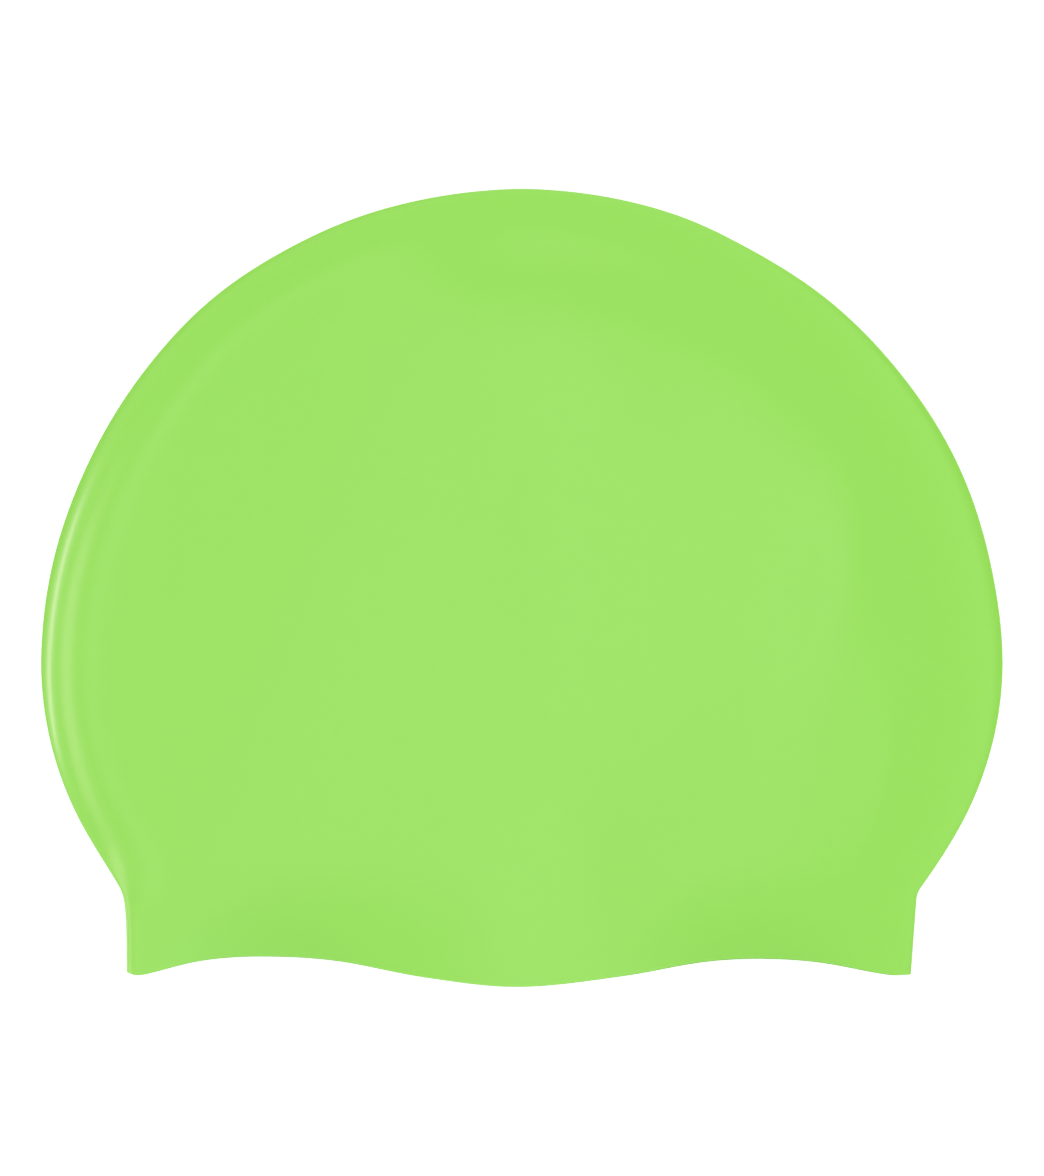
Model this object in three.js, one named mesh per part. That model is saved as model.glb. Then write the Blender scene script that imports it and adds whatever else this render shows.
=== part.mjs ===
// A swimming cap of soft silicone, moulded in one piece. It lies on its side on a table, as it is
// stored: the lower wall flat on the table, the upper wall a low swell over it, and the two joined
// by a round fold that runs from the front of the neck over the crown to the back of the neck.
// Millimetres, +Z up. +X runs from the front fold to the back fold, and +Y from the open hem to
// the crown. The origin is on the table, under the middle of the cap.

import * as THREE from 'three';
import { LoftGeometry } from 'three/addons/geometries/LoftGeometry.js';

// The outline, seen from above. Heights are counted from the tip of the ear lobe.
const CAP_LENGTH = 230; // front fold to back fold, at the widest
const CAP_HEIGHT = 191; // ear lobe to crown
const WIDEST_HEIGHT = 78.3; // ear lobe to the widest line
const NECK_HEIGHT = 22.3; // ear lobe to the pinch where the neck begins
const NECK_LENGTH = 188.5; // front to back at the pinch
const BACK_LEAN = 1.7; // how far the back of the neck leans in, from the pinch to the ear lobe
const FRONT_PINCH_EASE = 2.6; // how softly the dome turns into the neck at the front
const BACK_PINCH_EASE = 0.5; // and at the back, where the turn is a crisp corner
const NOTCH_RISE = 7.4; // ear lobe to the top of the notches in the hem

// The section across the fold. Heights are counted from the table.
const FOLD_HEIGHT = 7; // widest line of the fold
const UNDER_RUN = 8; // how far in from the fold the lower wall meets the table
const SHOULDER_RUN = 13; // how far in from the fold its round shoulder ends
const SHOULDER_RISE = 6.4; // from the fold's widest line to the end of the shoulder
const FOLD_CREASE = 0.5; // how sharply the shoulder meets the fold: 0 leaves the fold fully round

// The fold is tighter along the neck, where the upper wall reaches out almost flat to its edge.
const NECK_SHOULDER_RUN = 3.5; // how far in from the fold the neck's shoulder ends
const NECK_SHOULDER_RISE = 1.4; // from the edge of the neck to the end of its shoulder
const TIGHT_FOLD_TOP = 12; // how far above the hem the fold begins to open up
const ROUND_FOLD_START = 32; // how far above the hem it is as round as over the dome

// The upper wall above that shoulder. It dips behind the front fold and rises to a crest that runs
// along the back fold, where it slopes down again.
const CREST_RISE = 5; // shoulder to crest
const CREST_LEAN = 0.22; // how far the rise shifts back for each millimetre above the widest line
const CREST_RUN = 29; // how far in from the back fold the crest lies
const CREST_DROP = 3.8; // from the crest down to the back fold's shoulder
const CREST_ROUNDING = 0.15; // how round the crest is, as a share of CREST_RUN
const CREST_START = 60; // how far above the hem the slope behind the crest is fully formed
const NECK_RUN = 150; // how far above the hem the upper wall has its full rise

// The silicone
const WALL = 1.1; // over the dome
const HEM_WALL = 1.6; // at the hem, where it is thicker so that it doesn't tear
const HEM_BAND = 14; // height over which the hem thins down to the wall

// How finely the surface is divided
const COLUMNS = 72; // round each section
const ROWS = 30; // hem to crown
const LIP_STEPS = 4; // round the lip of the hem
const SPAN = 2; // columns to each side that give the direction through the wall

// Where the fold runs a little inside its two true arcs. up is a share of CAP_HEIGHT; front and
// back are shares of CAP_LENGTH.
const FOLD_FLATS = [
  { up: 0.0, front: 0.0, back: 0.0 },
  { up: 0.15, front: 0.0017, back: 0.0017 },
  { up: 0.24, front: 0.0, back: 0.0004 },
  { up: 0.41, front: 0.0, back: 0.0 },
  { up: 0.52, front: 0.001, back: 0.0019 },
  { up: 0.66, front: 0.003, back: 0.0013 },
  { up: 0.78, front: 0.0018, back: 0.0033 },
  { up: 0.87, front: -0.0015, back: 0.0042 },
  { up: 0.93, front: 0.0004, back: 0.0077 },
  { up: 0.97, front: 0.0, back: 0.003 },
  { up: 1.0, front: 0.004, back: 0.004 },
];

// The wave of the hem. along is the share of the way from the front fold to the back fold, and
// rise is a share of NOTCH_RISE above the ear lobe.
const HEM_WAVE = [
  { along: 0.0, rise: 0.46 },
  { along: 0.01, rise: 0.38 },
  { along: 0.022, rise: 0.39 },
  { along: 0.095, rise: 0.85 },
  { along: 0.17, rise: 1.0 },
  { along: 0.265, rise: 0.87 },
  { along: 0.38, rise: 0.31 },
  { along: 0.5, rise: 0.0 },
  { along: 0.635, rise: 0.38 },
  { along: 0.73, rise: 0.84 },
  { along: 0.8, rise: 0.965 },
  { along: 0.88, rise: 0.85 },
  { along: 0.975, rise: 0.4 },
  { along: 1.0, rise: 0.385 },
];

// The upper wall across the cap: along runs from -1 at the front fold to 1 at the back fold, and
// rise is a share of CREST_RISE.
const ACROSS = [
  { along: -1.0, rise: 0.0 },
  { along: -0.85, rise: -0.1 },
  { along: -0.7, rise: -0.24 },
  { along: -0.5, rise: -0.37 },
  { along: -0.3, rise: -0.34 },
  { along: 0.0, rise: -0.12 },
  { along: 0.4, rise: 0.45 },
  { along: 0.72, rise: 1.0 },
  { along: 1.0, rise: 1.4 },
];

// The neck, which is a little narrower than the dome and the mouth: above is a share of NECK_RUN
// above the hem, and rise is the share of the upper wall's full rise.
const NECK = [
  { above: 0.0, rise: 0.8 },
  { above: 0.08, rise: 0.68 },
  { above: 0.17, rise: 0.62 },
  { above: 0.3, rise: 0.71 },
  { above: 0.45, rise: 0.85 },
  { above: 0.65, rise: 0.96 },
  { above: 0.85, rise: 1.0 },
  { above: 1.0, rise: 1.0 },
];

// Soft swells of the upper wall. along is as in ACROSS; up, reach and spread are shares of
// CAP_HEIGHT, reach along the swell and spread across it; turn is in degrees from the cap's length;
// lift is a share of CREST_RISE.
const SWELLS = [
  { name: 'front notch flare', along: -0.46, up: 0.0, reach: 0.16, spread: 0.1, turn: 0, lift: 0.6 },
  { name: 'back notch flare', along: 0.45, up: 0.0, reach: 0.15, spread: 0.1, turn: 0, lift: 0.5 },
  { name: 'back neck corner', along: 0.8, up: 0.1, reach: 0.07, spread: 0.06, turn: 0, lift: 0.3 },
  { name: 'rib above the lobe', along: 0.11, up: 0.1, reach: 0.14, spread: 0.075, turn: 90, lift: 0.12 },
  { name: 'back pinch crease', along: 0.76, up: 0.26, reach: 0.075, spread: 0.03, turn: 80, lift: 0.1 },
  { name: 'puff under the crown', along: 0.17, up: 0.76, reach: 0.09, spread: 0.09, turn: 0, lift: 0.12 },
  { name: 'bead along the crest', along: 0.66, up: 0.5, reach: 0.15, spread: 0.045, turn: 80, lift: 0.14 },
  { name: 'middle furrow', along: 0.045, up: 0.5, reach: 0.22, spread: 0.035, turn: 90, lift: -0.025 },
];

const halfLength = CAP_LENGTH / 2;
const clampShare = (t) => Math.min(Math.max(t, 0), 1);
const arch = (t) => Math.sqrt(1 - (1 - clampShare(t)) ** 2);
const creased = (t) => Math.hypot(FOLD_CREASE, arch(t)) - FOLD_CREASE;
const easeOut = (t) => 1 - (1 - clampShare(t)) ** 2;
const softMaximum = (a, b, ease) => (a + b + Math.hypot(a - b, ease)) / 2;

// A smooth curve through a table's rows, read at one value of its first column.
function tableCurve(rows, place, column) {
  const values = rows.map((row) => new THREE.Vector2(row[place], row[column]));
  return (at) => {
    const last = values.length - 2;
    const found = values.findIndex((point, i) => i > 0 && point.x >= at);
    const i = found < 0 ? last : found - 1;
    const [a, b] = [values[i], values[i + 1]];
    const slope = (j) => {
      const [p, q] = [values[Math.max(j - 1, 0)], values[Math.min(j + 1, last + 1)]];
      return (q.y - p.y) / (q.x - p.x);
    };
    const gap = b.x - a.x;
    const t = clampShare((at - a.x) / gap);
    const t2 = t * t;
    const t3 = t2 * t;
    const fromA = (2 * t3 - 3 * t2 + 1) * a.y + (t3 - 2 * t2 + t) * gap * slope(i);
    return fromA + (3 * t2 - 2 * t3) * b.y + (t3 - t2) * gap * slope(i + 1);
  };
}

const frontFlats = tableCurve(FOLD_FLATS, 'up', 'front');
const backFlats = tableCurve(FOLD_FLATS, 'up', 'back');
const hemWave = tableCurve(HEM_WAVE, 'along', 'rise');
const acrossRise = tableCurve(ACROSS, 'along', 'rise');
const neckRise = tableCurve(NECK, 'above', 'rise');

// Half of the dome's length at a height: one elliptic arc above the widest line, and another below
// it that passes through the pinch.
function domeHalfLength(up) {
  const lowerArc = (WIDEST_HEIGHT - NECK_HEIGHT) / Math.sqrt(1 - (NECK_LENGTH / CAP_LENGTH) ** 2);
  const arcHeight = up > WIDEST_HEIGHT ? CAP_HEIGHT - WIDEST_HEIGHT : lowerArc;
  const drop = (up - WIDEST_HEIGHT) / arcHeight;
  return halfLength * Math.sqrt(Math.max(1 - drop * drop, 0));
}

function foldReach(up, lean, pinchEase, flats) {
  const inset = CAP_LENGTH * flats(up / CAP_HEIGHT);
  if (up > WIDEST_HEIGHT) return Math.max(domeHalfLength(up) - inset, 0);
  const neck = NECK_LENGTH / 2 - lean * (1 - up / NECK_HEIGHT);
  return softMaximum(domeHalfLength(up) - inset, neck, pinchEase);
}

const frontReach = (up) => foldReach(up, 0, FRONT_PINCH_EASE, frontFlats);
const backReach = (up) => foldReach(up, BACK_LEAN, BACK_PINCH_EASE, backFlats);

const hemRise = (along) => HEM_WALL / 2 + NOTCH_RISE * hemWave(along);

// Places in plan. row runs from 0 at the hem to 1 at the crown, and along from 0 at the front fold
// to 1 at the back fold.
function planPoint(row, along) {
  const rise = hemRise(along);
  const up = rise + (CAP_HEIGHT - rise) * row;
  const x = THREE.MathUtils.lerp(-frontReach(up), backReach(up), along);
  return { x, y: up - CAP_HEIGHT / 2, aboveHem: up - rise };
}

// Rows crowd together at the hem and at the crown, and columns at the folds.
const crowd = (t) => (1 - Math.cos(Math.PI * t)) / 2;
const rowShares = Array.from({ length: ROWS }, (_, i) => crowd(i / ROWS));

const frontFold = [...rowShares, 1].map((row) => planPoint(row, row < 1 ? 0 : 0.5));
const backFold = [...rowShares, 1].map((row) => planPoint(row, row < 1 ? 1 : 0.5));

function distanceTo(line, x, y) {
  let nearest = Infinity;
  for (let i = 1; i < line.length; i++) {
    const [a, b] = [line[i - 1], line[i]];
    const [dx, dy] = [b.x - a.x, b.y - a.y];
    const t = clampShare(((x - a.x) * dx + (y - a.y) * dy) / (dx * dx + dy * dy));
    nearest = Math.min(nearest, Math.hypot(x - a.x - t * dx, y - a.y - t * dy));
  }
  return nearest;
}

function swellLift(x, y) {
  const lifts = SWELLS.map(({ along, up, reach, spread, turn, lift }) => {
    const middle = new THREE.Vector2(along * halfLength, (up - 0.5) * CAP_HEIGHT);
    const away = new THREE.Vector2(x, y).sub(middle);
    away.rotateAround(new THREE.Vector2(), -THREE.MathUtils.degToRad(turn)).divideScalar(CAP_HEIGHT);
    return lift * Math.exp(-((away.x / reach) ** 2) - (away.y / spread) ** 2);
  });
  return CREST_RISE * lifts.reduce((sum, lift) => sum + lift, 0);
}

const neckShare = (aboveHem) => neckRise(Math.min(aboveHem / NECK_RUN, 1));

const roundness = (aboveHem) =>
  THREE.MathUtils.smoothstep(aboveHem, TIGHT_FOLD_TOP, ROUND_FOLD_START);

// The fold's widest line, which climbs towards the top of the shoulder along the tight neck.
function foldHeight(aboveHem) {
  const top = FOLD_HEIGHT + neckShare(aboveHem) * SHOULDER_RISE;
  return THREE.MathUtils.lerp(top - NECK_SHOULDER_RISE, FOLD_HEIGHT, roundness(aboveHem));
}

function shoulderRise(aboveHem, fromFold) {
  const tight = NECK_SHOULDER_RISE * easeOut(fromFold / NECK_SHOULDER_RUN);
  const round = (SHOULDER_RISE * creased(fromFold / SHOULDER_RUN)) / creased(1);
  return THREE.MathUtils.lerp(tight, neckShare(aboveHem) * round, roundness(aboveHem));
}

function upperWallHeight({ x, y, aboveHem }, fromFold) {
  const shift = CREST_LEAN * (y + CAP_HEIGHT / 2 - WIDEST_HEIGHT);
  const pastCrest = softMaximum(1 - distanceTo(backFold, x, y) / CREST_RUN, 0, CREST_ROUNDING);
  const drop = CREST_DROP * pastCrest * easeOut(aboveHem / CREST_START);
  const rise = CREST_RISE * acrossRise((x - shift) / halfLength) - drop;
  const settled = easeOut(fromFold / (SHOULDER_RUN + UNDER_RUN));
  const lift = settled * (neckShare(aboveHem) * rise + swellLift(x, y));
  return foldHeight(aboveHem) + shoulderRise(aboveHem, fromFold) + lift;
}

const lowerWallHeight = ({ aboveHem }, fromFold) =>
  foldHeight(aboveHem) * (1 - arch(fromFold / UNDER_RUN));

// One closed section of the outer skin: along the upper wall from the front fold to the back fold,
// and back along the lower wall.
function outerRing(row) {
  return Array.from({ length: COLUMNS }, (_, column) => {
    const turn = (2 * column) / COLUMNS;
    const onUpper = turn < 1;
    const plan = planPoint(row, crowd(turn));
    const onFold = column % (COLUMNS / 2) === 0;
    const fromFold = Math.min(
      distanceTo(frontFold, plan.x, plan.y),
      distanceTo(backFold, plan.x, plan.y),
    );
    const wallHeight = onUpper ? upperWallHeight : lowerWallHeight;
    const z = onFold ? foldHeight(plan.aboveHem) : wallHeight(plan, fromFold);
    return Object.assign(new THREE.Vector3(plan.x, plan.y, z), { aboveHem: plan.aboveHem });
  });
}

const crownPlan = planPoint(1, 0.5);
const crown = new THREE.Vector3(crownPlan.x, crownPlan.y, FOLD_HEIGHT);
const outerRings = rowShares.map(outerRing);

// The direction out of the silicone at one point of the outer skin.
function outward(row, column) {
  const ring = outerRings[row];
  const next = (row + 1 < ROWS ? outerRings[row + 1][column] : crown).clone();
  const round = ring[(column + SPAN) % COLUMNS].clone().sub(ring.at(column - SPAN));
  const towardsCrown = next.sub(outerRings[Math.max(row - 1, 0)][column]);
  return round.cross(towardsCrown).normalize();
}

const wallAt = (aboveHem) => THREE.MathUtils.lerp(HEM_WALL, WALL, easeOut(aboveHem / HEM_BAND));

const innerRings = outerRings.map((ring, row) =>
  ring.map((point, column) =>
    point.clone().addScaledVector(outward(row, column), -wallAt(point.aboveHem)),
  ),
);
const innerCrown = crown.clone().setY(crown.y - WALL);

// The half-round lip of the hem, from the inner skin to the outer skin.
const lipRings = Array.from({ length: LIP_STEPS - 1 }, (_, step) => {
  const turn = (Math.PI * (step + 1)) / LIP_STEPS;
  return outerRings[0].map((outer, column) => {
    const inner = innerRings[0][column];
    const middle = outer.clone().lerp(inner, 0.5);
    const across = outer.clone().sub(middle);
    const down = outer.clone().sub(outerRings[1][column]).setLength(HEM_WALL / 2);
    return middle.addScaledVector(across, -Math.cos(turn)).addScaledVector(down, Math.sin(turn));
  });
});

const closedAt = (point) => Array.from({ length: COLUMNS }, () => point.clone());

function capShell() {
  const sections = [
    closedAt(innerCrown),
    ...innerRings.toReversed(),
    ...lipRings,
    ...outerRings,
    closedAt(crown),
  ];
  const silicone = new THREE.MeshStandardMaterial({ color: 0x8bcc52, roughness: 0.42 });
  const mesh = new THREE.Mesh(new LoftGeometry(sections), silicone);
  mesh.name = 'cap_shell';
  return mesh;
}

const cap = new THREE.Group();
cap.name = 'swim_cap';
cap.add(capShell());

export default cap;
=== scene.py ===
"""A swimming cap of soft moulded silicone, lying on its side on a pale table.

Run as a script, it builds the whole scene. Its operators are also listed in the 3D view's sidebar.
"""

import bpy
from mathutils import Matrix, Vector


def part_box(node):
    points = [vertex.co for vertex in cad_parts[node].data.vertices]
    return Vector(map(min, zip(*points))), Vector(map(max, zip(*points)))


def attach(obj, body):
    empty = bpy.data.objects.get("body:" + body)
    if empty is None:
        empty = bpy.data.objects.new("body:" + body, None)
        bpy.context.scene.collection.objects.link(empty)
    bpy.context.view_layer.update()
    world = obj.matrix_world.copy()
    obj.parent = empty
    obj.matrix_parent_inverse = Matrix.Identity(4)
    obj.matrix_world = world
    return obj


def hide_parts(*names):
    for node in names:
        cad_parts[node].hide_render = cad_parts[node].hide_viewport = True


bl_info = {
    "name": "Lying swim cap",
    "version": (1, 0, 0),
    "blender": (4, 5, 0),
    "location": "3D View > Sidebar > Swim cap",
    "description": "A moulded silicone swimming cap that lies on its side, and the table under it",
    "category": "Object",
}

import math

import bmesh
import bpy
import numpy as np
from mathutils import Matrix, Vector

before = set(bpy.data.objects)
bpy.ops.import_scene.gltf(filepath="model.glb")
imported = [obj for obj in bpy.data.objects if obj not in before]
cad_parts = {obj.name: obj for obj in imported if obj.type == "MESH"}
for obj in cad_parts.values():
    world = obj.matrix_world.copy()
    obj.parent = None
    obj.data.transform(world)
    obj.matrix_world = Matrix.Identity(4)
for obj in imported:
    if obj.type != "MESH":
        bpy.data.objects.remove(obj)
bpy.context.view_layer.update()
CAP_LOW, CAP_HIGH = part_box("cap_shell")
CAP_LENGTH = CAP_HIGH.x - CAP_LOW.x
CAP_HEIGHT = CAP_HIGH.y - CAP_LOW.y
HALF_LENGTH = CAP_LENGTH / 2

PHOTO_WIDTH, PHOTO_HEIGHT = 1044, 1176
CAP_SHARE_OF_WIDTH = 0.9214  # how much of the picture's width the cap fills

ROSE = (1.0, 0.5, 0.9)  # keeps the highlights from going yellow on the green silicone
WHITE = (1.0, 1.0, 1.0)

# The lights, in metres: (place, (length along the cap's height, width), colour, whether it lights
# the silicone, whether it shows in its gloss).
LIGHTS = {
    "strip": ((-0.9, 0.02, 0.175), (0.6, 0.095), ROSE, False, True),
    "box": ((-0.6, -0.08, 0.61), (0.52, 0.25), ROSE, False, True),
    "panel": ((-0.525, -0.075, 3.8), (1.75, 0.85), WHITE, True, True),
    "fill": ((0.8, 0.1, 0.4), (0.9, 0.4), WHITE, True, False),
}

# The outline, seen from above, in metres above the tip of the ear lobe.
WIDEST_HEIGHT = 0.41 * CAP_HEIGHT
NECK_HEIGHT = 0.1168 * CAP_HEIGHT
NECK_LENGTH = 0.8196 * CAP_LENGTH
BACK_LEAN = 0.0017
FRONT_PINCH_EASE = 0.0026
BACK_PINCH_EASE = 0.0005
NOTCH_RISE = 0.0074
HEM_LIP = 0.0004  # how far the hem stays inside the outline, which the lens spreads a little

POINTS_PER_ROW = 4  # of the lines that distances from the folds are measured to
NEAR_ZERO = 1e-5  # on the round dome of radius 1, what counts as lying on its planes and axis

SPECK_CORE = 0.6  # the share of a speck's reach where its edge starts to fade
SPECK_LOTS = (0.35, 0.8)  # the lots, from 0 to 1, where a cell's speck starts to show and is full

# Extra loops that keep the pinch above the neck crisp, from 0 at the hem to 1 at the crown.
PINCH_ROWS = (0.098, 0.104, 0.11)

# Where the fold runs a little inside its two true arcs: (share of the height, share of the length).
FRONT_FLATS = [
    (0.0, 0.0), (0.15, 0.0017), (0.24, 0.0), (0.41, 0.0), (0.52, 0.001), (0.66, 0.003),
    (0.78, 0.0018), (0.87, -0.0015), (0.93, 0.0004), (0.97, 0.0), (1.0, 0.004),
]
BACK_FLATS = [
    (0.0, 0.0), (0.15, 0.0017), (0.24, 0.0004), (0.41, 0.0), (0.52, 0.0019), (0.66, 0.0013),
    (0.78, 0.0033), (0.87, 0.0042), (0.93, 0.0077), (0.97, 0.003), (1.0, 0.004),
]

# The wave of the hem, from the front fold to the back fold: (share of the way, share of the
# notches' rise).
HEM_WAVE = [
    (0.0, 0.46), (0.01, 0.38), (0.022, 0.39), (0.095, 0.85), (0.17, 1.0), (0.265, 0.87),
    (0.38, 0.31), (0.5, 0.0), (0.635, 0.38), (0.73, 0.84), (0.8, 0.965), (0.88, 0.85),
    (0.975, 0.4), (1.0, 0.385),
]

# The upper wall across the cap: (from -1 at the front fold to 1 at the back fold, share of the
# crest's rise).
ACROSS = [
    (-1.0, 0.0), (-0.85, -0.1), (-0.7, -0.24), (-0.5, -0.37), (-0.3, -0.34), (0.0, -0.12),
    (0.4, 0.45), (0.72, 1.0), (1.0, 1.4),
]

# The neck, a little narrower than the dome and the mouth: (share of the neck's run above the hem,
# share of the upper wall's full rise).
NECK = [
    (0.0, 0.8), (0.08, 0.68), (0.17, 0.62), (0.3, 0.71), (0.45, 0.85), (0.65, 0.96), (0.85, 1.0),
    (1.0, 1.0),
]

# Soft swells of the upper wall: (from -1 at the front fold to 1 at the back fold, share of the
# height, reach along the swell and spread across it as shares of the height, degrees that it is
# turned from the cap's length, lift as a share of the crest's rise).
SWELLS = {
    "flare over the front notch": (-0.46, 0.0, 0.16, 0.1, 0, 0.6),
    "flare over the back notch": (0.45, 0.0, 0.15, 0.1, 0, 0.5),
    "corner of the back neck": (0.8, 0.1, 0.07, 0.06, 0, 0.3),
    "rib down to the ear lobe": (0.11, 0.1, 0.14, 0.075, 90, 0.12),
    "crease over the back pinch": (0.76, 0.26, 0.075, 0.03, 80, 0.1),
    "puff under the crown": (0.17, 0.76, 0.09, 0.09, 0, 0.12),
    "bead along the crest": (0.66, 0.5, 0.15, 0.045, 80, 0.14),
    "furrow down the middle": (0.045, 0.5, 0.22, 0.035, 90, -0.025),
}


def metres(name, description, default):
    return bpy.props.FloatProperty(
        name=name, description=description, default=default, min=0.0, precision=5, unit="LENGTH"
    )


def share(name, description, default):
    return bpy.props.FloatProperty(
        name=name, description=description, default=default, min=0.0, max=1.0, subtype="FACTOR"
    )


def watts(name, description, default):
    return bpy.props.FloatProperty(
        name=name, description=description, default=default, min=0.0, subtype="POWER"
    )


def colour(name, description, default):
    return bpy.props.FloatVectorProperty(
        name=name, description=description, default=default, min=0.0, max=1.0, subtype="COLOR"
    )


class CapShellSizes(bpy.types.PropertyGroup):
    wall: metres("Wall", "Silicone over the dome", 0.0011)
    hem_wall: metres("Hem wall", "Silicone at the hem, where it is thicker", 0.0016)
    # Also sets how far up the painted shade over the hem's notches reaches: twice this height.
    hem_band: metres("Hem band", "Height over which the hem thins down to the wall", 0.014)
    fold_height: metres("Fold height", "Table to the widest line of the fold", 0.007)
    under_run: metres("Under run", "Fold to where the lower wall meets the table", 0.008)
    shoulder_run: metres("Shoulder run", "Fold to the end of its round shoulder", 0.013)
    shoulder_rise: metres("Shoulder rise", "Fold to the top of its shoulder", 0.0064)
    fold_crease: share("Fold crease", "How sharply the shoulder meets the fold", 0.5)
    shoulder_ease: share("Shoulder ease", "How gently the shoulder ends in the upper wall", 0.3)
    neck_shoulder_run: metres("Neck shoulder run", "Fold to the end of the neck's shoulder", 0.0035)
    neck_shoulder_rise: metres("Neck shoulder rise", "Edge of the neck to its shoulder", 0.0012)
    tight_fold_top: metres("Tight fold top", "Hem to where the fold opens up", 0.012)
    round_fold_start: metres("Round fold start", "Hem to where the fold is fully round", 0.032)
    crest_rise: metres("Crest rise", "Shoulder to the crest along the back fold", 0.005)
    crest_lean: share("Crest lean", "Shift back for each metre above the widest line", 0.22)
    crest_run: metres("Crest run", "Back fold to the crest", 0.029)
    crest_drop: metres("Crest drop", "Crest to the shoulder of the back fold", 0.0038)
    crest_rounding: share("Crest rounding", "How round the crest is, as a share of its run", 0.15)
    crest_start: metres("Crest start", "Hem to where the crest is fully formed", 0.06)
    neck_run: metres("Neck run", "Hem to where the upper wall has its full rise", 0.15)
    columns: bpy.props.IntProperty(
        name="Columns", description="Faces round the cap", default=144, min=24, max=240
    )
    rows: bpy.props.IntProperty(
        name="Rows", description="Faces from hem to crown", default=60, min=12, max=120
    )


class SiliconeFinish(bpy.types.PropertyGroup):
    silicone: colour("Silicone", "Colour of the pigmented silicone", (0.248, 0.598, 0.072))
    # Painted shade: a darker green laid into the silicone's colour over the hem's notches.
    notch_shade: colour("Band", "Colour over the hem's notches", (0.229, 0.575, 0.069))
    chalk: colour("Chalk", "Colour of the mould powder and dust", (0.62, 0.86, 0.5))
    roughness: share("Roughness", "Roughness of the satin mould finish", 0.26)
    grain_size: metres("Grain size", "Width of one grain of the mould finish", 0.0004)
    grain_depth: metres("Grain depth", "Depth of the mould finish's grain", 0.000012)
    cloud_size: metres("Cloud size", "Width of the faint clouds in the pigment", 0.03)
    fleck_size: metres("Fleck size", "Width of the flecks within the clouds", 0.0025)
    fleck_share: share("Fleck share", "How much of the unevenness is flecks, not clouds", 0.4)
    speck_spacing: metres("Speck spacing", "Distance between specks of dust", 0.022)
    speck_size: metres("Speck size", "Half the width of the largest speck", 0.0004)
    speck_height: metres("Speck height", "How far a speck stands out of the surface", 0.00005)
    speck_paleness: share("Speck paleness", "How much of the chalk shows in a speck", 0.25)
    pigment_change: share("Pigment change", "How much the clouds darken the pigment", 0.02)
    polish_change: share("Polish change", "How much the clouds change the roughness", 0.05)


class StageSetup(bpy.types.PropertyGroup):
    table_top: colour("Table", "Colour of the table", (0.6, 0.6, 0.6))
    table_glow: share("Table glow", "Light that the table gives off itself", 0.59)
    sky: bpy.props.FloatProperty(
        name="Sky", description="Strength of the light from all round", default=1.19, min=0.0
    )
    ground: share("Ground", "Light from below the horizon, as a share of the sky", 0.1)
    horizon_depth: share("Horizon depth", "Drop from the horizon to where the ground is dim", 0.25)
    strip_power: watts("Strip", "Power of the low strip light on the left", 3.6)
    box_power: watts("Box", "Power of the soft box on the left", 1.75)
    panel_power: watts("Panel", "Power of the broad panel overhead on the left", 8.0)
    fill_power: watts("Fill", "Power of the soft fill low on the right", 0.4)
    lens: bpy.props.FloatProperty(
        name="Lens", description="Focal length in millimetres", default=250.0, min=10.0
    )


def table_curve(rows, at):
    """A smooth curve through a table's rows of place and value, read at the places in at."""
    places, values = np.array(rows).T
    last = len(places) - 1
    index = np.arange(last + 1)
    ahead, behind = np.minimum(index + 1, last), np.maximum(index - 1, 0)
    slopes = (values[ahead] - values[behind]) / (places[ahead] - places[behind])
    i = np.clip(np.searchsorted(places, at) - 1, 0, last - 1)
    gap = places[i + 1] - places[i]
    t = np.clip((at - places[i]) / gap, 0, 1)
    start = (2 * t**3 - 3 * t**2 + 1) * values[i] + (t**3 - 2 * t**2 + t) * gap * slopes[i]
    return start + (3 * t**2 - 2 * t**3) * values[i + 1] + (t**3 - t**2) * gap * slopes[i + 1]


def ease_out(t):
    return 1 - (1 - np.clip(t, 0, 1)) ** 2


def arch(t):
    return np.sqrt(ease_out(t))


def creased(t, crease):
    """An arch from 0 to 1 that starts at a slope instead of upright."""
    return (np.hypot(crease, arch(t)) - crease) / (math.hypot(crease, 1) - crease)


def soft_maximum(a, b, ease):
    return (a + b + np.hypot(a - b, ease)) / 2


def dome_half_length(up):
    lower = (WIDEST_HEIGHT - NECK_HEIGHT) / math.sqrt(1 - (NECK_LENGTH / CAP_LENGTH) ** 2)
    arc = np.where(up > WIDEST_HEIGHT, CAP_HEIGHT - WIDEST_HEIGHT, lower)
    return HALF_LENGTH * np.sqrt(np.maximum(1 - ((up - WIDEST_HEIGHT) / arc) ** 2, 0))


def fold_reach(up, lean, ease, flats):
    """How far the fold runs from the middle of the cap, at heights above the ear lobe."""
    dome = dome_half_length(up) - CAP_LENGTH * table_curve(flats, up / CAP_HEIGHT)
    neck = NECK_LENGTH / 2 - lean * (1 - up / NECK_HEIGHT)
    return np.where(up > WIDEST_HEIGHT, np.maximum(dome, 0), soft_maximum(dome, neck, ease))


def plan_of(row, along):
    """Places seen from above, row from 0 at the hem to 1 at the crown and along the cap from the
    front fold at 0 to the back fold at 1: (x, y, height above the hem)."""
    rise = HEM_LIP + NOTCH_RISE * table_curve(HEM_WAVE, along)
    up = rise + (CAP_HEIGHT - rise) * row
    front = -fold_reach(up, 0.0, FRONT_PINCH_EASE, FRONT_FLATS)
    back = fold_reach(up, BACK_LEAN, BACK_PINCH_EASE, BACK_FLATS)
    return front + (back - front) * along, CAP_LOW.y + up, up - rise


def fold_line(side, rows):
    """Points along the front fold (side 0) or the back fold (side 1), from hem to crown."""
    turns = np.linspace(0, math.pi, POINTS_PER_ROW * rows + 1)
    x, y, _ = plan_of((1 - np.cos(turns)) / 2, np.full_like(turns, side))
    return np.column_stack([x, y])


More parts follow.
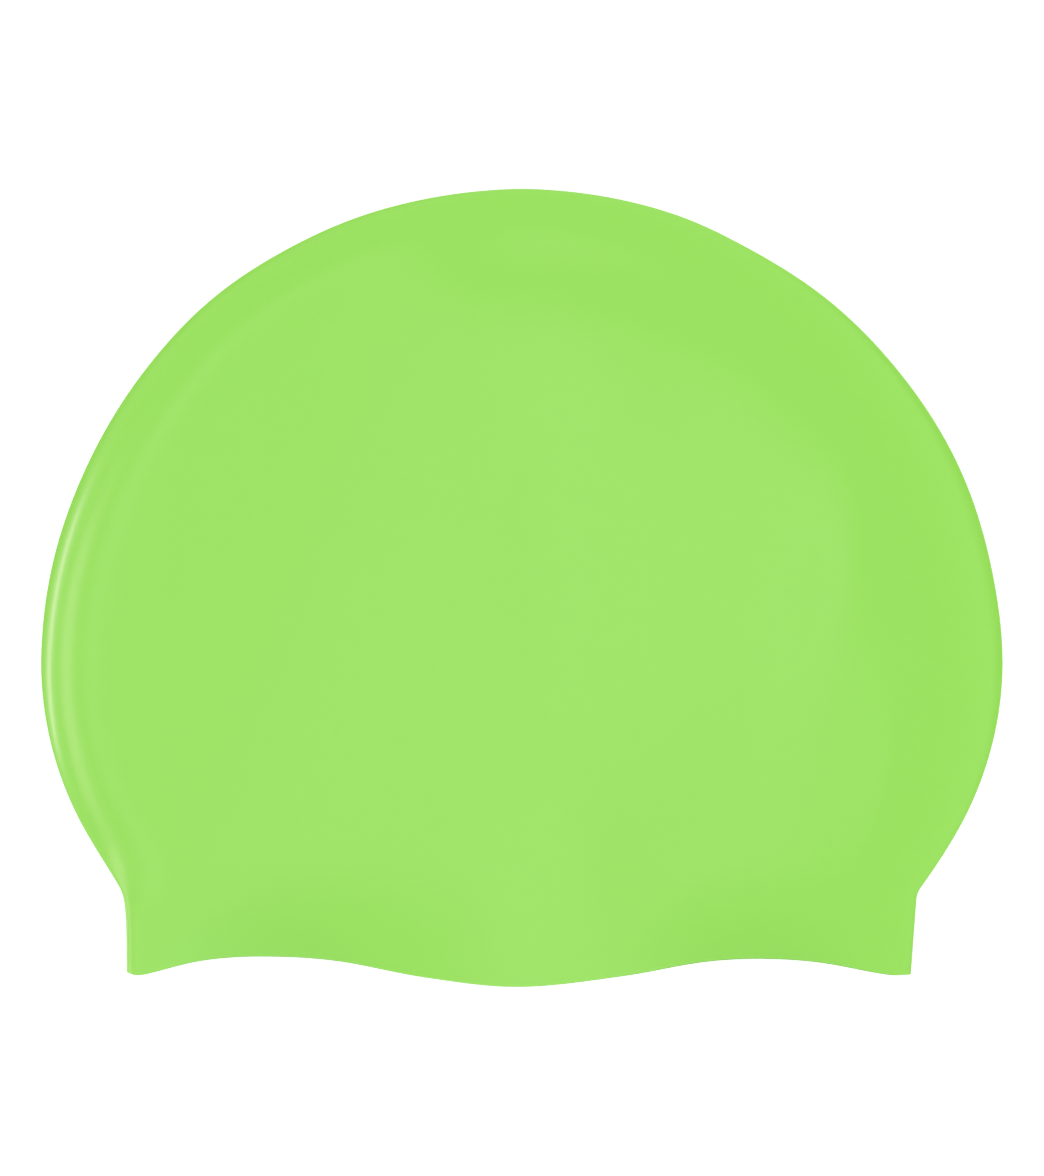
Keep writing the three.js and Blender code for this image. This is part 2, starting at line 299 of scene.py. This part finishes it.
def distance_to(line, x, y):
    """The shortest distance from each place to a line of points."""
    points = np.column_stack([x, y])
    starts, steps = line[:-1], np.diff(line, axis=0)
    lengths = np.maximum((steps**2).sum(axis=1), 1e-18)
    nearest = np.full(len(points), np.inf)
    for start, step, length in zip(starts, steps, lengths):
        t = np.clip(((points - start) @ step) / length, 0, 1)
        nearest = np.minimum(nearest, np.linalg.norm(points - start - t[:, None] * step, axis=1))
    return nearest


def swell_lift(x, y):
    """How far the swells lift the upper wall, as shares of the crest's rise."""
    lift = np.zeros_like(x)
    for along, up, reach, spread, turn, share_of_rise in SWELLS.values():
        dx, dy = x - along * HALF_LENGTH, y - CAP_LOW.y - up * CAP_HEIGHT
        c, s = math.cos(math.radians(turn)), math.sin(math.radians(turn))
        u = (c * dx + s * dy) / (reach * CAP_HEIGHT)
        v = (c * dy - s * dx) / (spread * CAP_HEIGHT)
        lift += share_of_rise * np.exp(-(u**2) - v**2)
    return lift


def roundness(above_hem, sizes):
    """0 where the fold is tight, along the neck, and 1 where it is round, over the dome."""
    run = sizes.round_fold_start - sizes.tight_fold_top
    t = np.clip((above_hem - sizes.tight_fold_top) / run, 0, 1)
    return t * t * (3 - 2 * t)


def fold_height(neck, rounded, sizes):
    """The fold's widest line, which climbs towards the top of the shoulder along the tight neck."""
    tight = sizes.fold_height + neck * sizes.shoulder_rise - sizes.neck_shoulder_rise
    return tight + (sizes.fold_height - tight) * rounded


def shoulder_height(inward, neck, rounded, sizes):
    tight = sizes.neck_shoulder_rise * arch(inward / sizes.neck_shoulder_run)
    ease = sizes.shoulder_ease
    left = soft_maximum(1 - inward / sizes.shoulder_run, 0, ease) / soft_maximum(1.0, 0.0, ease)
    full = neck * sizes.shoulder_rise * creased(1 - left, sizes.fold_crease)
    return tight + (full - tight) * rounded


def wall_heights(x, y, above_hem, from_front, from_back, sizes):
    """The heights of the upper wall, the lower wall and the fold at places seen from above."""
    inward = np.minimum(from_front, from_back)
    neck = table_curve(NECK, np.minimum(above_hem / sizes.neck_run, 1))
    rounded = roundness(above_hem, sizes)
    fold = fold_height(neck, rounded, sizes)
    shift = sizes.crest_lean * (y - CAP_LOW.y - WIDEST_HEIGHT)
    past_crest = soft_maximum(1 - from_back / sizes.crest_run, 0, sizes.crest_rounding)
    drop = sizes.crest_drop * past_crest * ease_out(above_hem / sizes.crest_start)
    rise = sizes.crest_rise * table_curve(ACROSS, (x - shift) / HALF_LENGTH) - drop
    settled = ease_out(inward / (sizes.shoulder_run + sizes.under_run))
    lift = settled * (neck * rise + sizes.crest_rise * swell_lift(x, y))
    upper = fold + shoulder_height(inward, neck, rounded, sizes) + lift
    return upper, fold * (1 - arch(inward / sizes.under_run)), fold


def unit_dome(columns, rows):
    """A round dome of radius 1 with its crown towards +Y and its hem in the plane y = 0."""
    bm = bmesh.new()
    bmesh.ops.create_uvsphere(bm, u_segments=columns, v_segments=2 * rows, radius=1.0)
    bmesh.ops.rotate(bm, verts=bm.verts, matrix=Matrix.Rotation(-math.pi / 2, 3, "X"))
    below = [vert for vert in bm.verts if vert.co.y < -NEAR_ZERO]
    bmesh.ops.delete(bm, geom=below, context="VERTS")
    for row in PINCH_ROWS:
        everything = bm.verts[:] + bm.edges[:] + bm.faces[:]
        bmesh.ops.bisect_plane(
            bm, geom=everything, plane_co=(0, math.sqrt(row), 0), plane_no=(0, 1, 0)
        )
    return bm


def lay_on_side(bm, sizes):
    """Presses the dome flat between its two sides, gives it the cap's outline and section, and
    weights the painted shade over the hem's notches.
    """
    round_co = np.array([vert.co for vert in bm.verts])
    girth = np.hypot(round_co[:, 0], round_co[:, 2])
    off_pole = girth > NEAR_ZERO
    along = np.where(off_pole, (1 + round_co[:, 0] / np.maximum(girth, NEAR_ZERO)) / 2, 0.5)
    on_fold = np.abs(round_co[:, 2]) < NEAR_ZERO
    along = np.where(on_fold & off_pole, np.round(along), along)
    x, y, above_hem = plan_of(round_co[:, 1] ** 2, along)
    from_front, from_back = (distance_to(fold_line(side, sizes.rows), x, y) for side in (0, 1))
    upper, lower, fold = wall_heights(x, y, above_hem, from_front, from_back, sizes)
    z = np.where(on_fold, fold, np.where(round_co[:, 2] > 0, upper, lower))
    hem = bm.verts.layers.deform.verify()
    # Painted shade: a layer that darkens the silicone over the hem's notches, strongest at the hem
    # where it rises into a notch.
    notch_shade = bm.verts.layers.float.new("hem_band")
    thicker = 1 - ease_out(above_hem / sizes.hem_band)
    notch_shaded = (1 - ease_out(above_hem / (2 * sizes.hem_band))) * table_curve(HEM_WAVE, along) ** 2
    for vert, place, weight, notch_shade_share in zip(bm.verts, np.column_stack([x, y, z]), thicker, notch_shaded):
        vert.co = place
        vert[hem][0] = float(weight)
        vert[notch_shade] = float(notch_shade_share)


class Signal:
    """A socket of a material's node tree, used in plain arithmetic."""

    def __init__(self, tree, socket):
        self.tree = tree
        self.socket = socket

    def node(self, kind, settings=None, inputs=None, output=0):
        made = self.tree.nodes.new(kind)
        for name, value in (settings or {}).items():
            setattr(made, name, value)
        for name, value in (inputs or {}).items():
            if isinstance(value, Signal):
                self.tree.links.new(value.socket, made.inputs[name])
            else:
                made.inputs[name].default_value = value
        return Signal(self.tree, made.outputs[output])

    def maths(self, operation, first, second):
        return self.node("ShaderNodeMath", {"operation": operation}, {0: first, 1: second})

    def __add__(self, other):
        return self.maths("ADD", self, other)

    def __radd__(self, other):
        return self.maths("ADD", other, self)

    def __sub__(self, other):
        return self.maths("SUBTRACT", self, other)

    def __rsub__(self, other):
        return self.maths("SUBTRACT", other, self)

    def __mul__(self, other):
        return self.maths("MULTIPLY", self, other)

    def __rmul__(self, other):
        return self.maths("MULTIPLY", other, self)

    def __truediv__(self, other):
        return self.maths("DIVIDE", self, other)

    def __rtruediv__(self, other):
        return self.maths("DIVIDE", other, self)

    def step(self, low, high):
        """0 below low, 1 above high and smooth between them."""
        return self.node(
            "ShaderNodeMapRange",
            {"interpolation_type": "SMOOTHSTEP"},
            {"Value": self, "From Min": low, "From Max": high},
        )


def mixed(factor, first, second):
    """One colour laid over another."""
    inputs = {0: factor, 6: first, 7: second}
    return factor.node("ShaderNodeMix", {"data_type": "RGBA"}, inputs, output=2)


def rgba(values):
    return (*values, 1.0)


def silicone_material(finish):
    """Pigmented silicone from a satin mould, with faint clouds, fine grain, a few specks and
    painted shade over the hem's notches.
    """
    material = bpy.data.materials.new("silicone")
    material.use_nodes = True
    tree = material.node_tree
    tree.nodes.clear()
    place = Signal(tree, tree.nodes.new("ShaderNodeTexCoord").outputs["Object"])

    def noise(size, detail, seed):
        inputs = {"Vector": place, "W": seed, "Scale": 1 / size, "Detail": detail}
        inputs["Roughness"] = 0.55
        return place.node("ShaderNodeTexNoise", {"noise_dimensions": "4D"}, inputs)

    clouds = noise(finish.cloud_size, 3.0, 1.3)
    flecks = noise(finish.fleck_size, 3.0, 4.1)
    grain = noise(finish.grain_size, 2.0, 7.7)
    cell = {"Vector": place, "Scale": 1 / finish.speck_spacing, "Randomness": 1.0}
    away = place.node("ShaderNodeTexVoronoi", {"feature": "F1"}, cell, "Distance")
    lot = place.node("ShaderNodeTexVoronoi", {"feature": "F1"}, cell, "Color")
    pick = lot.node("ShaderNodeSeparateColor", {}, {"Color": lot}, "Red")
    reach = finish.speck_size / finish.speck_spacing
    specks = (1 - (away / (pick * reach)).step(SPECK_CORE, 1.0)) * pick.step(*SPECK_LOTS)

    uneven = clouds * (1 - finish.fleck_share) + flecks * finish.fleck_share
    paler = tuple(channel * (1 + finish.pigment_change / 2) for channel in finish.silicone)
    deeper = tuple(channel * (1 - finish.pigment_change / 2) for channel in finish.silicone)
    pigment = mixed(uneven, rgba(deeper), rgba(paler))
    # Painted shade: the base colour turns darker over the hem's notches.
    notch_shade = place.node("ShaderNodeAttribute", {"attribute_name": "hem_band"}, {}, "Fac")
    notch_shaded = mixed(notch_shade, pigment, rgba(finish.notch_shade))
    coloured = mixed(specks * finish.speck_paleness, notch_shaded, rgba(finish.chalk))
    polish = finish.roughness + (uneven - 0.5) * finish.polish_change
    relief = grain * finish.grain_depth + specks * finish.speck_height
    bumps = place.node("ShaderNodeBump", {}, {"Strength": 1.0, "Distance": 1.0, "Height": relief})
    shader = place.node(
        "ShaderNodeBsdfPrincipled",
        {"subsurface_method": "RANDOM_WALK"},
        {
            "Base Color": coloured,
            "Roughness": polish,
            "Normal": bumps,
            "IOR": 1.41,
            "Subsurface Weight": 0.15,
            "Subsurface Radius": (0.6, 1.0, 0.3),
            "Subsurface Scale": 0.0012,
        },
    )
    end = tree.nodes.new("ShaderNodeOutputMaterial")
    tree.links.new(shader.socket, end.inputs["Surface"])
    return material


def shown(name, bm, material):
    """Puts a finished bmesh in the scene as a smooth piece."""
    mesh = bpy.data.meshes.new(name)
    for face in bm.faces:
        face.smooth = True
    bm.to_mesh(mesh)
    bm.free()
    mesh.materials.append(material)
    piece = bpy.data.objects.new(name, mesh)
    bpy.context.scene.collection.objects.link(piece)
    return piece


class SWIMCAP_OT_shell(bpy.types.Operator):
    """Mould the cap as a round dome and lay it on its side, with its wall, hem and silicone"""

    bl_idname = "swimcap.shell"
    bl_label = "Cap shell"
    bl_options = {"REGISTER", "UNDO"}

    def execute(self, context):
        sizes = context.scene.cap_shell_sizes
        bm = unit_dome(sizes.columns, sizes.rows)
        lay_on_side(bm, sizes)
        cap = shown("swim_cap", bm, silicone_material(context.scene.silicone_finish))
        cap.vertex_groups.new(name="hem")
        wall = cap.modifiers.new("wall", "SOLIDIFY")
        wall.thickness = sizes.hem_wall
        wall.offset = -1.0
        wall.vertex_group = "hem"
        wall.thickness_vertex_group = sizes.wall / sizes.hem_wall
        smooth = cap.modifiers.new("smooth", "SUBSURF")
        smooth.levels = smooth.render_levels = 1
        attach(cap, "root")
        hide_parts("cap_shell")
        return {"FINISHED"}


def table_material(setup):
    """A matt white table top that glows a little, so that shadows on it stay faint."""
    material = bpy.data.materials.new("table")
    material.use_nodes = True
    shader = material.node_tree.nodes["Principled BSDF"]
    shader.inputs["Base Color"].default_value = rgba(setup.table_top)
    shader.inputs["Roughness"].default_value = 1.0
    shader.inputs["Specular IOR Level"].default_value = 0.0
    shader.inputs["Emission Color"].default_value = rgba(WHITE)
    shader.inputs["Emission Strength"].default_value = setup.table_glow
    return material


def studio_sky(setup):
    """Soft white light from all round, dim below the horizon, on a backdrop that stays white."""
    world = bpy.data.worlds.new("studio")
    world.use_nodes = True
    tree = world.node_tree
    backdrop = tree.nodes["Background"]
    backdrop.inputs["Color"].default_value = rgba(WHITE)
    towards = Signal(tree, tree.nodes.new("ShaderNodeTexCoord").outputs["Generated"])
    rise = towards.node("ShaderNodeSeparateXYZ", {}, {0: towards}, "Z")
    seen = Signal(tree, tree.nodes.new("ShaderNodeLightPath").outputs["Is Camera Ray"])
    above = seen.maths("MAXIMUM", seen, rise.step(-setup.horizon_depth, 0.0))
    strength = setup.sky * (setup.ground + (1 - setup.ground) * above)
    tree.links.new(strength.socket, backdrop.inputs["Strength"])
    return world


def area_light(name, place, size, tint, power):
    """A light that faces the cap and isn't seen by the camera."""
    light = bpy.data.lights.new(name, "AREA")
    light.shape = "RECTANGLE"
    light.size, light.size_y = size
    light.color = tint
    light.energy = power
    lamp = bpy.data.objects.new(name, light)
    lamp.location = place
    lamp.rotation_euler = (-Vector(place)).to_track_quat("-Z", "Y").to_euler()
    lamp.visible_camera = False
    bpy.context.scene.collection.objects.link(lamp)
    return lamp


class SWIMCAP_OT_stage(bpy.types.Operator):
    """Set the pale table, the soft light from all round and from the left, and the camera above"""

    bl_idname = "swimcap.stage"
    bl_label = "Table, light and camera"
    bl_options = {"REGISTER", "UNDO"}

    def execute(self, context):
        scene = context.scene
        setup = scene.stage_setup
        bm = bmesh.new()
        bmesh.ops.create_grid(bm, x_segments=2, y_segments=2, size=6.0)
        table = shown("table_top", bm, table_material(setup))
        table.visible_glossy = False
        scene.world = studio_sky(setup)
        for name, (place, size, tint, lights_silicone, shows_in_gloss) in LIGHTS.items():
            lamp = area_light(name, place, size, tint, getattr(setup, name + "_power"))
            lamp.visible_diffuse = lights_silicone
            lamp.visible_glossy = shows_in_gloss

        lens = bpy.data.cameras.new("camera")
        lens.lens = setup.lens
        lens.sensor_width = 36.0
        picture_height = CAP_LENGTH / CAP_SHARE_OF_WIDTH * PHOTO_HEIGHT / PHOTO_WIDTH
        camera = bpy.data.objects.new("camera", lens)
        away = picture_height * setup.lens / lens.sensor_width
        camera.location = (0, 0, scene.cap_shell_sizes.fold_height + away)
        lens.clip_start, lens.clip_end = 0.01, 50.0
        scene.collection.objects.link(camera)
        scene.camera = camera
        scene.view_settings.view_transform = "Standard"
        return {"FINISHED"}


class SWIMCAP_PT_sidebar(bpy.types.Panel):
    bl_idname = "SWIMCAP_PT_sidebar"
    bl_label = "Swim cap"
    bl_space_type = "VIEW_3D"
    bl_region_type = "UI"
    bl_category = "Swim cap"

    def draw(self, context):
        for group in ("cap_shell_sizes", "silicone_finish", "stage_setup"):
            box = self.layout.box()
            settings = getattr(context.scene, group)
            for name in settings.__annotations__:
                box.prop(settings, name)
        for operator in (SWIMCAP_OT_shell, SWIMCAP_OT_stage):
            self.layout.operator(operator.bl_idname)


CLASSES = (
    CapShellSizes,
    SiliconeFinish,
    StageSetup,
    SWIMCAP_OT_shell,
    SWIMCAP_OT_stage,
    SWIMCAP_PT_sidebar,
)


def register():
    for cls in CLASSES:
        bpy.utils.register_class(cls)
    bpy.types.Scene.cap_shell_sizes = bpy.props.PointerProperty(type=CapShellSizes)
    bpy.types.Scene.silicone_finish = bpy.props.PointerProperty(type=SiliconeFinish)
    bpy.types.Scene.stage_setup = bpy.props.PointerProperty(type=StageSetup)


def unregister():
    del bpy.types.Scene.stage_setup
    del bpy.types.Scene.silicone_finish
    del bpy.types.Scene.cap_shell_sizes
    for cls in reversed(CLASSES):
        bpy.utils.unregister_class(cls)


def main():
    register()
    bpy.ops.swimcap.shell()
    bpy.ops.swimcap.stage()


if __name__ == "__main__":
    main()
